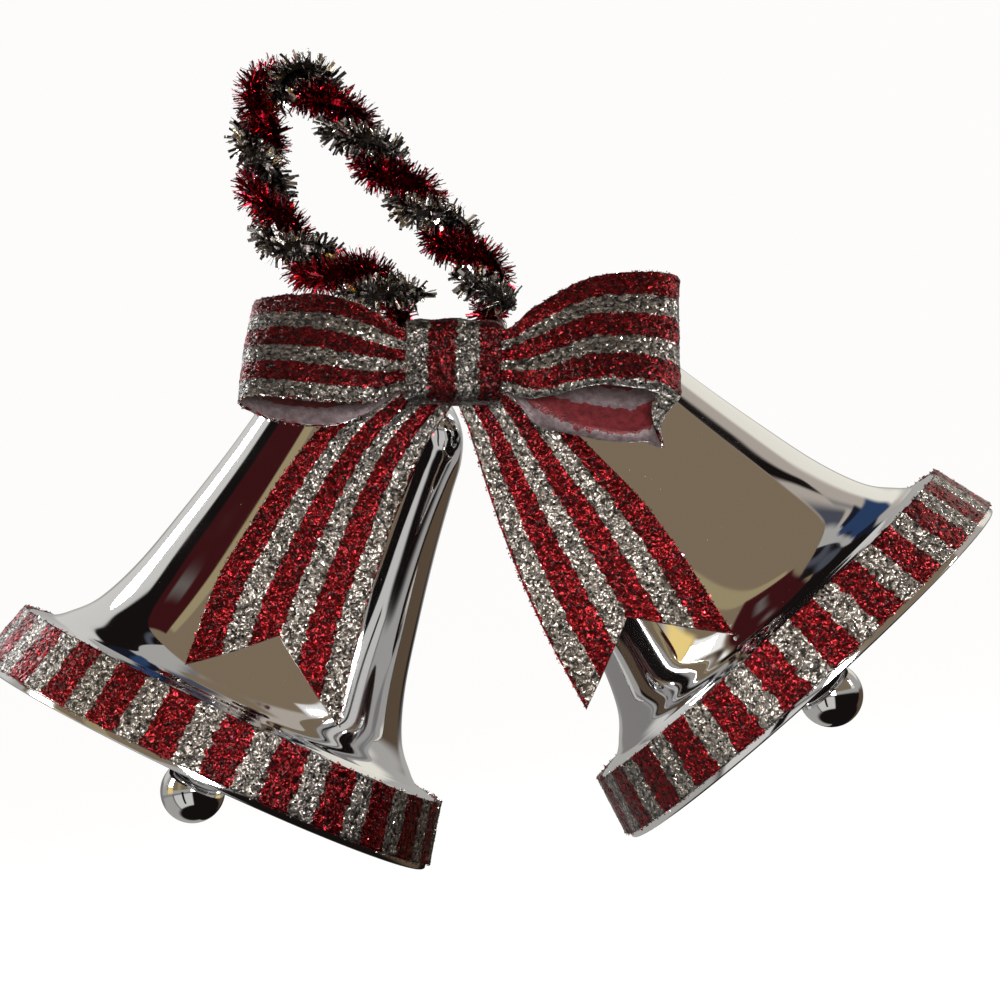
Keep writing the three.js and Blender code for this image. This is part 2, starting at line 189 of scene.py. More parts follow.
def drawn_out(rows, count):
    """Rows of numbers as one smooth series, read at a count of even places."""
    rows = np.asarray(rows, float)
    at = np.linspace(0, len(rows) - 1, count)
    i = np.clip(np.floor(at).astype(int), 0, len(rows) - 2)
    t = (at - i)[:, None]
    padded = np.concatenate([[2 * rows[0] - rows[1]], rows, [2 * rows[-1] - rows[-2]]])
    a, b, c, d = (padded[i + k] for k in range(4))
    slope_b, slope_c = (c - a) / 2, (d - b) / 2
    square = 3 * (c - b) - 2 * slope_b - slope_c
    cubic = 2 * (b - c) + slope_b + slope_c
    return b + t * (slope_b + t * (square + t * cubic))


def lengths_along(path):
    return np.concatenate([[0], np.cumsum(np.linalg.norm(np.diff(path, axis=0), axis=1))])


def read_off(at, along, values):
    """Columns of values, known at the places in along, read at other places."""
    return np.stack([np.interp(at, along, column) for column in values.T], -1)


def even_path(points, spacing):
    """A smooth path through points, resampled at an even spacing."""
    fine = drawn_out(points, 40 * len(points))
    along = lengths_along(fine)
    count = int(round(along[-1] / spacing)) + 1
    return read_off(np.linspace(0, along[-1], count), along, fine)


def tangents(path, closed=False):
    if closed:
        return unit(np.roll(path, -1, 0) - np.roll(path, 1, 0))
    return unit(np.gradient(path, axis=0))


def swept(path, radius, sides=16, closed=False):
    """Points and faces of a round wire along a path, with domed ends where it is open."""
    radius = np.broadcast_to(radius, len(path)).astype(float)
    along = tangents(path, closed)
    side = np.zeros_like(along)
    side[0] = unit(np.cross(along[0], Y_AXIS if abs(along[0][1]) < 0.9 else Z_AXIS))
    for i in range(1, len(path)):
        carried = side[i - 1] - along[i] * np.dot(side[i - 1], along[i])
        side[i] = unit(carried)
    over = np.cross(along, side)
    angle = np.linspace(0, 2 * math.pi, sides, endpoint=False)
    ring = np.cos(angle)[None, :, None] * side[:, None] + np.sin(angle)[None, :, None] * over[:, None]
    points = (path[:, None] + ring * radius[:, None, None]).reshape(-1, 3)
    faces = [grid_faces(len(path), sides, wrap_rows=closed, wrap_columns=True)]
    if not closed:
        tips = np.array([path[0] - along[0] * radius[0] * 0.5, path[-1] + along[-1] * radius[-1] * 0.5])
        last, tip = (len(path) - 1) * sides, len(points)
        k = np.arange(sides)
        after = (k + 1) % sides
        faces.append(np.stack([np.full(sides, tip), after, k], 1))
        faces.append(np.stack([np.full(sides, tip + 1), last + k, last + after], 1))
        points = np.concatenate([points, tips])
    return points, faces


def gathered(parts):
    """Several (points, faces) joined in one mesh's arrays."""
    points, faces, count = [], [], 0
    for part_points, part_faces in parts:
        points.append(part_points)
        faces += [group + count for group in part_faces]
        count += len(part_points)
    quads = [group for group in faces if group.shape[1] == 4]
    triangles = [group for group in faces if group.shape[1] == 3]
    kept = [np.concatenate(group) for group in (quads, triangles) if group]
    return np.concatenate(points), kept


def turned(profile, segments, closed=True):
    """Points and faces of a [radius, height] profile turned round the Z axis."""
    radius, height = np.asarray(profile, float).T[:, :, None]
    angle = np.linspace(0, 2 * math.pi, segments, endpoint=False)
    ring = [radius * np.cos(angle), radius * np.sin(angle), height + 0 * angle]
    points = np.stack(ring, -1).reshape(-1, 3)
    return points, [grid_faces(len(profile), segments, wrap_rows=closed, wrap_columns=True)]


def arc(centre, radius, start, end, steps):
    """Points of a round stretch of a profile, angles in degrees."""
    angle = np.radians(np.linspace(start, end, steps))
    return [[centre[0] + radius * math.cos(a), centre[1] + radius * math.sin(a)] for a in angle]


# ---- Materials ----


def new_material(name, **inputs):
    material = bpy.data.materials.new(name)
    material.use_nodes = True
    for key, value in inputs.items():
        shader_input(material, key).default_value = value
    return material, material.node_tree


def shader_input(material, key):
    return material.node_tree.nodes["Principled BSDF"].inputs[key.replace("_", " ")]


def linked(material, **values):
    for key, value in values.items():
        material.node_tree.links.new(value, shader_input(material, key))


def node(tree, kind, inputs=None, **settings):
    """A node with these settings, whose inputs are linked to other nodes' outputs or given a value."""
    made = tree.nodes.new(kind)
    for key, value in settings.items():
        setattr(made, key, value)
    for key, value in (inputs or {}).items():
        if isinstance(value, bpy.types.NodeSocket):
            tree.links.new(value, made.inputs[key])
        elif value is not None:
            made.inputs[key].default_value = value
    return made


def math_node(tree, operation, a, b=None):
    return node(tree, "ShaderNodeMath", {0: a, 1: b}, operation=operation).outputs[0]


def vector_math(tree, operation, a, b=None):
    second = "Scale" if operation == "SCALE" else 1
    return node(tree, "ShaderNodeVectorMath", {0: a, second: b}, operation=operation).outputs[0]


def mixed(tree, factor, a, b, blend="MIX"):
    a, b = ((*colour, 1) if isinstance(colour, (tuple, list)) else colour for colour in (a, b))
    settings = {"data_type": "RGBA", "blend_type": blend}
    return node(tree, "ShaderNodeMix", {0: factor, 6: a, 7: b}, **settings).outputs[2]


def ramp(tree, value, stops):
    made = node(tree, "ShaderNodeValToRGB", {0: value})
    elements = made.color_ramp.elements
    while len(elements) < len(stops):
        elements.new(0.5)
    for element, (position, colour) in zip(elements, stops):
        element.position = position
        element.color = (*colour, 1)
    return made.outputs[0]


def grey(value):
    return (value,) * 3


def object_place(tree):
    return node(tree, "ShaderNodeTexCoord").outputs["Object"]


def noise(tree, place, scale, detail, output="Fac"):
    inputs = {"Vector": place, "Scale": scale, "Detail": detail}
    return node(tree, "ShaderNodeTexNoise", inputs).outputs[output]


def cells(tree, place, scale):
    """A field of random cells: the distance from each one's middle, and its own colour."""
    return node(tree, "ShaderNodeTexVoronoi", {"Vector": place, "Scale": scale}).outputs


def own_tint(tree):
    """The random number that each chip or sliver has."""
    return node(tree, "ShaderNodeAttribute", attribute_name="tint").outputs["Fac"]


def bump(tree, height, strength, distance, invert=False):
    inputs = {"Height": height, "Strength": strength, "Distance": distance}
    return node(tree, "ShaderNodeBump", inputs, invert=invert).outputs[0]


def plated_material(name, colour, waviness, roughness):
    """Vacuum-plated plastic: a mirror with faint moulding waves, haze patches and a few dust specks."""
    material, tree = new_material(name, Metallic=1.0, IOR=1.5)
    place = object_place(tree)
    speck = math_node(tree, "LESS_THAN", cells(tree, place, 420.0)["Distance"], 0.04)
    patch = ramp(tree, noise(tree, place, 60.0, 4.0), [(0.42, grey(roughness)), (0.75, grey(roughness * 3))])
    dull = [channel * 0.86 for channel in colour]
    linked(
        material,
        Roughness=math_node(tree, "ADD", patch, math_node(tree, "MULTIPLY", speck, 0.25)),
        Base_Color=mixed(tree, speck, colour, dull),
        Normal=bump(tree, noise(tree, place, 28.0, 1.0), waviness, 0.004),
    )
    return material


def wire_material():
    """Bright drawn steel: fine streaks and a little tarnish."""
    material, tree = new_material("steel_wire", Metallic=1.0)
    place = object_place(tree)
    tarnish = noise(tree, place, 350.0, 5.0)
    linked(
        material,
        Base_Color=ramp(tree, tarnish, [(0.35, (0.32, 0.31, 0.29)), (0.65, (0.62, 0.62, 0.61))]),
        Roughness=ramp(tree, tarnish, [(0.3, grey(0.42)), (0.7, grey(0.22))]),
        Normal=bump(tree, noise(tree, place, 2600.0, 2.0), 0.25, 0.0002),
    )
    return material


STRIPE_JAG = 0.1  # how far a stripe's edge wanders, in stripe widths
CRINKLE = 1.15 * MM  # size of the creases in the film
SILVER_STARTS = 0.55  # share of a pair of stripes that is red
RED_FILM, SILVER_FILM = (0.215, 0.006, 0.010), (0.40, 0.37, 0.345)
# the colour of the mesh's holes, also used for the painted shade in the creases
HOLE_AND_CREASE_SHADE_COLOUR = (0.010, 0.008, 0.008)
HOLE_REACH, CREASE_SHADE_STARTS = 0.16, 0.62  # distances from the middle of a cell: the holes, and where the painted crease shade starts
FACET_LEVELS = ((0, 0.3), (0.6, 0.75), (1, 1.5))  # how bright the facets are, from the dullest
FACET_TILT = 0.6
RED_CHIPS = [
    (0.0, (0.14, 0.002, 0.006)),
    (0.6, (0.35, 0.01, 0.02)),
    (0.93, (0.85, 0.06, 0.07)),
    (0.985, (0.9, 0.3, 0.6)),
]
SILVER_CHIPS = [
    (0.0, (0.2, 0.2, 0.19)),
    (0.6, (0.62, 0.6, 0.57)),
    (0.955, (0.92, 0.9, 0.86)),
    (0.99, (0.9, 0.62, 0.8)),
]


def stripe_mask(tree, place):
    """1 on the silver stripes: the ribbon's UV counts stripes, and the edge follows the creases."""
    uv = node(tree, "ShaderNodeUVMap", uv_map="ribbon").outputs[0]
    count = node(tree, "ShaderNodeSeparateXYZ", {"Vector": uv}).outputs[0]
    jag = math_node(tree, "SUBTRACT", noise(tree, place, 1 / (1.4 * CRINKLE), 1.0), 0.5)
    moved = math_node(tree, "ADD", count, math_node(tree, "MULTIPLY", jag, 4 * STRIPE_JAG))
    place_in_pair = math_node(tree, "FRACT", math_node(tree, "MULTIPLY", moved, 0.5))
    return math_node(tree, "GREATER_THAN", place_in_pair, SILVER_STARTS)


def random_vector(tree, colour, reach):
    """A random colour as a vector, each way from -reach / 2 to reach / 2."""
    return vector_math(tree, "SCALE", vector_math(tree, "SUBTRACT", colour, grey(0.5)), reach)


def shifted_place(tree, place, scale, reach):
    """Coordinates pushed about by noise, so that what is drawn on them curls."""
    push = random_vector(tree, noise(tree, place, scale, 2.0, "Color"), reach)
    return vector_math(tree, "ADD", place, push)


def facet_normal(tree, normal, colour, tilt):
    """A normal tipped at random from one facet to the next."""
    return vector_math(tree, "NORMALIZE", vector_math(tree, "ADD", normal, random_vector(tree, colour, tilt)))


def glitter_material(name, painted_light_level):
    """The ribbon's face: creased metallised film, red and silver stripes, dark holes in the mesh, painted
    shade in the creases, and painted shade over the whole film where the light level is below 1.
    """
    material, tree = new_material(name, Metallic=0.85, Roughness=0.3)
    place = object_place(tree)
    curled = shifted_place(tree, place, 0.7 / CRINKLE, 1.9 * CRINKLE)
    folds = cells(tree, curled, 1 / CRINKLE)["Distance"]
    facets = cells(tree, curled, 1.7 / CRINKLE)["Color"]
    gaps = cells(tree, place, 0.6 / CRINKLE)["Distance"]
    shade = node(tree, "ShaderNodeSeparateColor", {"Color": facets}).outputs[0]
    # painted shade: a light level below 1 darkens every facet
    level = ramp(tree, shade, [(at, grey(painted_light_level * value)) for at, value in FACET_LEVELS])
    film = mixed(tree, stripe_mask(tree, place), RED_FILM, SILVER_FILM)
    film = mixed(tree, 1.0, film, level, "MULTIPLY")
    hole = math_node(tree, "LESS_THAN", gaps, HOLE_REACH)
    # painted shade: the film is darkened along the creases between its cells
    crease = math_node(tree, "GREATER_THAN", folds, CREASE_SHADE_STARTS)
    dark = math_node(tree, "MAXIMUM", hole, math_node(tree, "MULTIPLY", crease, 0.75))
    relief = bump(tree, folds, 0.9, 0.32 * CRINKLE, invert=True)
    linked(
        material,
        Base_Color=mixed(tree, dark, film, HOLE_AND_CREASE_SHADE_COLOUR),
        Normal=facet_normal(tree, relief, facets, FACET_TILT),
    )
    return material


def chip_material():
    """The single chips that stand up from the ribbon: bright film, a few of them pink."""
    material, tree = new_material("glitter_chips", Metallic=1.0)
    silver = stripe_mask(tree, object_place(tree))
    tint = own_tint(tree)
    linked(
        material,
        Base_Color=mixed(tree, silver, ramp(tree, tint, RED_CHIPS), ramp(tree, tint, SILVER_CHIPS)),
        Roughness=ramp(tree, tint, [(0.0, grey(0.35)), (1.0, grey(0.12))]),
    )
    return material


def backing_material():
    """The ribbon's reverse: sheer woven backing through which the film's colour shows."""
    material, tree = new_material("ribbon_backing", Metallic=0.15, Roughness=0.45)
    place = object_place(tree)
    mottle = noise(tree, place, 700.0, 3.0)
    red = ramp(tree, mottle, [(0.3, (0.09, 0.006, 0.010)), (0.7, (0.20, 0.02, 0.03))])
    mauve = ramp(tree, mottle, [(0.3, (0.12, 0.085, 0.095)), (0.7, (0.25, 0.20, 0.22))])
    linked(
        material,
        Base_Color=mixed(tree, stripe_mask(tree, place), red, mauve),
        Normal=bump(tree, cells(tree, place, 2400.0)["Distance"], 0.5, 0.0002),
    )
    return material


def film_material(name, dark, main, bright, odd):
    """Tinsel film: each sliver has its own shade, and a few catch an odd colour."""
    material, tree = new_material(name, Metallic=1.0)
    crease = noise(tree, object_place(tree), 900.0, 1.0)
    linked(
        material,
        Base_Color=ramp(tree, own_tint(tree), [(0.0, dark), (0.5, main), (0.93, bright), (0.985, odd)]),
        Roughness=ramp(tree, crease, [(0.35, grey(0.1)), (0.7, grey(0.28))]),
        Normal=bump(tree, crease, 0.3, 0.0003),
    )
    return material


# The record's material slots for the hard parts and the tinsel, and what each one looks like.
FINISHES = {
    "bell_plating": plated_material("bell_plating", (0.86, 0.86, 0.87), 0.015, 0.03),
    "chrome_plating": plated_material("chrome_plating", (0.80, 0.80, 0.81), 0.03, 0.03),
    "steel_wire": wire_material(),
    "red_tinsel": film_material(
        "red_tinsel", (0.02, 0.0004, 0.001), (0.24, 0.003, 0.010), (0.7, 0.02, 0.04), (0.9, 0.35, 0.7)
    ),
    "silver_tinsel": film_material(
        "silver_tinsel", (0.03, 0.026, 0.026), (0.46, 0.44, 0.43), (0.98, 0.97, 0.95), (0.85, 0.66, 0.28)
    ),
}
GLITTER, CHIPS, BACKING = glitter_material("glitter_ribbon", 1.0), chip_material(), backing_material()
SHADED_LOOP_GLITTER = glitter_material("glitter_ribbon_loops_painted_shade", 0.8)  # painted shade: the bow's loops get a darker copy of the glitter, and its knot the darkest copy
SHADED_KNOT_GLITTER = glitter_material("glitter_ribbon_knot_painted_shade", 0.42)  # knot is the dullest

# ---- Tinsel loop, the ornament's one cord ----

# Centre line of the twisted pair, in millimetres from the point where the bells' axes cross.
LOOP_ROUTE = [
    [-11.6, -15, -8.2], [-19.4, -13, -1.6], [-29.6, -10, 4], [-36.8, -7, 11.8],
    [-40.4, -4, 21.8], [-41, -2, 33], [-40.6, 0, 43.4], [-38.6, 0, 51.4],
    [-33.2, 0, 55.6], [-26.4, 0, 53.2], [-18.8, -1, 42.4], [-10.4, -3, 28.6],
    [-2.6, -6, 16.8], [4.4, -9, 6], [9.4, -12, -3.4], [11.6, -15, -11.4],
]
STRAND_OFFSET = 3.2 * MM
STRAND_PITCH = 27 * MM


def strand_path(centre, phase):
    """One strand winding round the centre line of the pair."""
    along = tangents(centre)
    out = unit(np.cross(along, Y_AXIS))
    angle = 2 * math.pi * lengths_along(centre) / STRAND_PITCH + phase
    return centre + STRAND_OFFSET * (np.cos(angle)[:, None] * out + np.sin(angle)[:, None] * Y_AXIS)


def slivers(path, count, reach, width, lean):
    """Thin closed slips of film that stand out from a strand's core, in arrays: points, faces, tints."""
    along = tangents(path)
    at = RNG.uniform(0, len(path) - 1.001, count)
    i = at.astype(int)
    t = (at - i)[:, None]
    root = path[i] * (1 - t) + path[i + 1] * t
    direction = along[i]
    out = unit(np.cross(direction, unit(RNG.normal(size=(count, 3)))))
    tilt = RNG.normal(lean, LEAN_SPREAD, count)[:, None]
    length = reach * RNG.uniform(*LENGTH_SHARES, count)[:, None]
    breadth = width * RNG.uniform(*BREADTH_SHARES, count)[:, None]
    rise = unit(out + tilt * direction)
    flat = unit(np.cross(rise, direction) + RNG.normal(0, TWIST, (count, 1)) * direction)
    flat = unit(flat - rise * np.sum(flat * rise, 1, keepdims=True))
    face = np.cross(rise, flat)
    bend = face * RNG.normal(0, CURL, (count, 1)) * length
    points = []
    for share in (0.3, 0.62, 1.0):
        middle = root + rise * length * share + bend * share**2
        for across, thick in ((-1, -1), (1, -1), (1, 1), (-1, 1)):
            points.append(middle + flat * breadth * across / 2 + face * FILM_THICKNESS * thick / 2)
    points = np.stack(points, 1).reshape(-1, 3)
    quads = [[0, 3, 2, 1], [8, 9, 10, 11]]
    for level in (0, 4):
        quads += [[level + k, level + (k + 1) % 4, level + 4 + (k + 1) % 4, level + 4 + k] for k in range(4)]
    faces = (np.array(quads)[None] + 12 * np.arange(count)[:, None, None]).reshape(-1, 4)
    tint = np.repeat(RNG.random(count), 12)
    return points, faces, tint


FILM_THICKNESS = 0.05 * MM
LENGTH_SHARES, BREADTH_SHARES = (0.6, 1.14), (0.6, 1.3)  # of a sliver's usual size
LEAN_SPREAD, TWIST, CURL = 0.28, 0.75, 0.16  # how unlike one another the slivers stand
CORE_RADIUS = 2.2 * MM  # of the dense dark middle of a strand
STRANDS = {
    "red": {"phase": 0.0, "count": 8600, "width": 0.36 * MM, "lean": 0.25},
    "silver": {"phase": math.pi, "count": 3600, "width": 0.85 * MM, "lean": -0.2},
}
BRISTLE_REACH = 5.2 * MM
STEP = 0.5 * MM  # between the points of the centre line
END_RUN = 4 * MM  # how far the cut ends run on behind the bow


def make_tinsel():
    centre = even_path(np.array(LOOP_ROUTE, float) * MM + CROSSING, STEP)
    run = np.arange(STEP, END_RUN, STEP)[:, None]
    along = tangents(centre)
    centre = np.concatenate([centre[0] - run[::-1] * along[0], centre, centre[-1] + run * along[-1]])
    for word, strand in STRANDS.items():
        path = strand_path(centre, strand["phase"])
        core = swept(path, CORE_RADIUS, 8)
        film, film_faces, film_tint = slivers(
            path, strand["count"], BRISTLE_REACH, strand["width"], strand["lean"]
        )
        points, faces = gathered([core, (film, [film_faces])])
        tint = np.concatenate([np.zeros(len(core[0])), film_tint])
        look = FINISHES[f"{word}_tinsel"]
        piece = mesh_object(f"tinsel_{word}", points, faces, [look], tint=tint, smooth=False)
        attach(piece, "ornament")
        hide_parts(f"tinsel_strand_{word}")


make_camera()
make_tinsel()

# ---- Bells ----

MOUTH_RADIUS = 60 * MM
LIP_HEIGHT = 16.4 * MM
LIP_TAPER = 4.4 * MM  # the lip is narrower at its top by this much, in radius
BELL_HEIGHT = 110.3 * MM
SHELL_WALL = 1.3 * MM
SHELL_SEGMENTS = 288
CROWN_HOLE = 1.5 * MM
BAND_FOOT = 1.8 * MM
BAND_RAGGED = 0.12 * MM
# The outside above the lip: radius and height above the mouth plane.
FLANK_RADII = [49.6, 46.6, 41.4, 36.6, 32.4, 28.8, 26.2, 24.8, 21.6, 15.4, 7]
FLANK_HEIGHTS = [17.3, 19.8, 26, 38, 55, 72, 87, 95.4, 102.4, 107.6, 110]
FLANK = np.stack([FLANK_RADII, FLANK_HEIGHTS], 1) * MM


def lip_radius(height):
    return MOUTH_RADIUS - LIP_TAPER * height / LIP_HEIGHT


def shell_profile():
    """A bell's closed [radius, height] profile: up the outside from the lip, and down the inside."""
    outside = drawn_out(FLANK, 110)
    along = unit(np.gradient(outside, axis=0))
    inside = outside + SHELL_WALL * np.stack([-along[:, 1], along[:, 0]], 1)
    edge, bead = 0.6 * MM, 0.45 * MM
    inner_mouth, inner_top = MOUTH_RADIUS - SHELL_WALL, LIP_HEIGHT - SHELL_WALL
    shoulder = lip_radius(LIP_HEIGHT) - edge
    ceiling = lip_radius(inner_top) - SHELL_WALL - edge
    return [
        *arc((inner_mouth + bead, bead), bead, 180, 270, 4),
        *arc((MOUTH_RADIUS - bead, bead), bead, 270, 360, 5),
        *np.linspace([MOUTH_RADIUS, bead], [shoulder + edge, LIP_HEIGHT - edge], 8)[1:-1],
        *arc((shoulder, LIP_HEIGHT - edge), edge, 8, 90, 6)[:-1],
        *np.linspace([shoulder, LIP_HEIGHT], outside[0], 8)[:-1],
        *outside,
        [CROWN_HOLE, BELL_HEIGHT],
        [CROWN_HOLE, BELL_HEIGHT - SHELL_WALL],
        *inside[::-1],
        *np.linspace(inside[0], [ceiling, inner_top], 6)[1:],
        *arc((ceiling, inner_top - edge), edge, 90, 8, 5)[1:],
        *np.linspace([ceiling + edge, inner_top - edge], [inner_mouth, bead], 6)[1:-1],
    ]


def bell_piece(name, side, body, slot_name, cad_node, parts, sharp=None):
    """A piece in a bell's own frame, put in place, given to its body and shown for its CAD node.
    Edges that turn by more than the angle in sharp, in degrees, stay sharp."""
    points, faces = gathered(parts)
    piece = mesh_object(f"{name}_{side}", points, faces, [FINISHES[slot_name]])
    piece.data.transform(bell_matrix(side))
    if sharp:
        piece.data.set_sharp_from_angle(angle=math.radians(sharp))
    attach(piece, f"{body}_{side}")
    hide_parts(f"{cad_node}_{side}")


# Wire work, as in the CAD model: heights above the mouth plane, in metres.
PIN_WIRE, TIE_WIRE, LINK_WIRE, GAP = 0.8 * MM, 0.6 * MM, 0.7 * MM, 0.3 * MM
EYE_RADIUS, LINK_RADIUS = 3 * MM, 4 * MM
UPPER_EYE = PIVOT_HEIGHT + TIE_WIRE + GAP + PIN_WIRE - EYE_RADIUS
LOWER_EYE = 102.5 * MM
LINK_TOP = LOWER_EYE - EYE_RADIUS + PIN_WIRE + GAP + LINK_WIRE
LINK_FOOT = LINK_TOP - 2 * LINK_RADIUS
STEM_EYE = LINK_FOOT + LINK_WIRE + GAP + PIN_WIRE - EYE_RADIUS
BALL_RADIUS, BALL_DROP, BALL_BORE = 8 * MM, 7.2 * MM, 6.2 * MM


def ring_path(radius, height, across=False):
    angle = np.linspace(0, 2 * math.pi, 48, endpoint=False)
    side, zero = radius * np.cos(angle), 0 * angle
    up = height + radius * np.sin(angle)
    return np.stack([zero, side, up] if across else [side, zero, up], 1)


def rod_path(low, high, steps=24):
    return np.linspace([0, 0, low], [0, 0, high], steps)


def make_bell(side):
    shell = turned(shell_profile(), SHELL_SEGMENTS)
    bell_piece("shell", side, "bell", "bell_plating", "bell_shell", [shell], 55)

    foot = BELL_HEIGHT + GAP
    cap_profile = [
        [CROWN_HOLE, foot],
        *arc((6.1 * MM, foot + 0.3 * MM), 0.3 * MM, -90, 60, 6),
        *arc((6.1 * MM, foot + 2.2 * MM), 1.7 * MM, 270, 190, 8),
        *arc((2.6 * MM, foot + 1.2 * MM), 1.5 * MM, 50, 110, 6),
        [CROWN_HOLE, foot + 2.4 * MM],
    ]
    bell_piece("cap", side, "bell", "chrome_plating", "crown_cap", [turned(cap_profile, 72)], 40)

    pin = [
        swept(ring_path(EYE_RADIUS, UPPER_EYE), PIN_WIRE, closed=True),
        swept(rod_path(LOWER_EYE + EYE_RADIUS, UPPER_EYE - EYE_RADIUS), PIN_WIRE),
        swept(ring_path(EYE_RADIUS, LOWER_EYE), PIN_WIRE, closed=True),
    ]
    bell_piece("pin", side, "bell", "steel_wire", "eye_pin", pin)

    top = BELL_HEIGHT - SHELL_WALL - 2 * GAP
    washer_profile = [
        [CROWN_HOLE, top - 0.8 * MM],
        [CROWN_HOLE + 0.2 * MM, top - 1.0 * MM],
        *arc((5.2 * MM, top - 0.7 * MM), 0.3 * MM, -90, 0, 5),
        *arc((5.2 * MM, top - 0.3 * MM), 0.3 * MM, 0, 90, 5),
        [CROWN_HOLE, top],
    ]
    bell_piece("washer", side, "bell", "steel_wire", "retaining_washer", [turned(washer_profile, 48)], 40)

    link = swept(ring_path(LINK_RADIUS, LINK_TOP - LINK_RADIUS, across=True), LINK_WIRE, closed=True)
    bell_piece("link", side, "clapper_link", "steel_wire", "clapper_link", [link])

    floor = BALL_RADIUS - BALL_DROP - BALL_BORE
    stem = [
        swept(ring_path(EYE_RADIUS, STEM_EYE), PIN_WIRE, closed=True),
        swept(rod_path(floor + 2 * GAP, STEM_EYE - EYE_RADIUS, 60), PIN_WIRE),
    ]
    bell_piece("stem", side, "clapper", "steel_wire", "clapper_stem", stem)

    bore = PIN_WIRE + GAP
    open_angle = math.degrees(math.asin(bore / BALL_RADIUS))
    ball_profile = [
        *arc((0, -BALL_DROP), BALL_RADIUS, -89.9, 90 - open_angle, 72),
        *np.linspace([bore, BALL_RADIUS - BALL_DROP - 0.2 * MM], [bore, floor], 6),
        [0.01 * MM, floor],
    ]
    bell_piece("ball", side, "clapper", "chrome_plating", "clapper_ball", [turned(ball_profile, 96)], 60)


for SIDE in SIDES:
    make_bell(SIDE)

# ---- Ribbon ----

RIBBON_WIDTH = 38.1 * MM
STRIPE = RIBBON_WIDTH / 6
RIBBON_THICKNESS = 0.6 * MM
CELL = 0.45 * MM  # spacing of the ribbon mesh, fine enough for its crumpled film
CRUMPLE = 0.2 * MM
CHIP_SIZE, CHIP_STAND = 0.34 * MM, 0.12 * MM
CHIP_TILT = 0.42
EDGE_SHARE = 0.2  # of the chips stand on the ribbon's two edges


def smooth_noise(shape, size, wrap):
    """Seeded bumps on a grid, from -1 to 1, whose width is about size cells."""
    noise = RNG.normal(size=shape)
    for _ in range(size):
        if wrap:
            noise = (noise + np.roll(noise, 1, 0) + np.roll(noise, -1, 0)) / 3
        else:
            noise[1:-1] = (noise[:-2] + noise[1:-1] + noise[2:]) / 3
        noise[:, 1:-1] = (noise[:, :-2] + noise[:, 1:-1] + noise[:, 2:]) / 3
    return noise / max(1e-9, 2.2 * noise.std())


def grid_normals(grid, wrap):
    down = (np.roll(grid, -1, 0) - np.roll(grid, 1, 0)) if wrap else np.gradient(grid, axis=0)
    across = np.gradient(grid, axis=1)
    return unit(np.cross(across, down))


def chips_on(grid, normals, stripes, count):
    """Pointed glitter chips on a ribbon's face: tetrahedra with the big face out. Some line the edges."""
    rows, columns = grid.shape[:2]
    at_row = RNG.uniform(0, rows - 1.001, count)
    at_column = RNG.uniform(0, columns - 1.001, count)
    edged = RNG.random(count) < EDGE_SHARE
    side = np.where(RNG.random(count) < 0.5, 0.0, columns - 1.001)
    at_column = np.where(edged, side, at_column)
    i, j = at_row.astype(int), at_column.astype(int)
    t, s = (at_row - i)[:, None], (at_column - j)[:, None]
    centre = (
        grid[i, j] * (1 - t) * (1 - s)
        + grid[i + 1, j] * t * (1 - s)
        + grid[i, j + 1] * (1 - t) * s
        + grid[i + 1, j + 1] * t * s
    )
    normal = normals[i, j]
    across = unit(grid[i, j + 1] - grid[i, j])
    outward = np.where(edged, np.where(side > 0, 1.0, -1.0), 0.0)[:, None] * across
    centre = centre + outward * RNG.uniform(0.0, 0.35, (count, 1)) * MM
    tipped = unit(normal + RNG.normal(0, CHIP_TILT, (count, 3)) + 0.5 * outward)
    first = unit(np.cross(tipped, RNG.normal(size=(count, 3))))
    second = np.cross(tipped, first)
    reach = CHIP_SIZE * RNG.uniform(0.55, 1.25, (count, 1))
    stand = RIBBON_THICKNESS / 2 + CHIP_STAND
    lift = centre + normal * stand * RNG.uniform(0.3, 1.0, (count, 1))
    corners = []
    for k in range(3):
        angle = 2 * math.pi * k / 3 + RNG.normal(0, 0.3, (count, 1))
        corners.append(lift + reach * (np.cos(angle) * first + np.sin(angle) * second))
    corners.append(lift - tipped * reach * 0.8)
    points = np.stack(corners, 1).reshape(-1, 3)
    shape = np.array([[0, 1, 2], [0, 3, 1], [1, 3, 2], [2, 3, 0]])
    faces = (shape[None] + 4 * np.arange(count)[:, None, None]).reshape(-1, 3)
    uv = np.repeat(stripes[i, j], 4, axis=0)
    return points, faces, uv, np.repeat(RNG.random(count), 4)


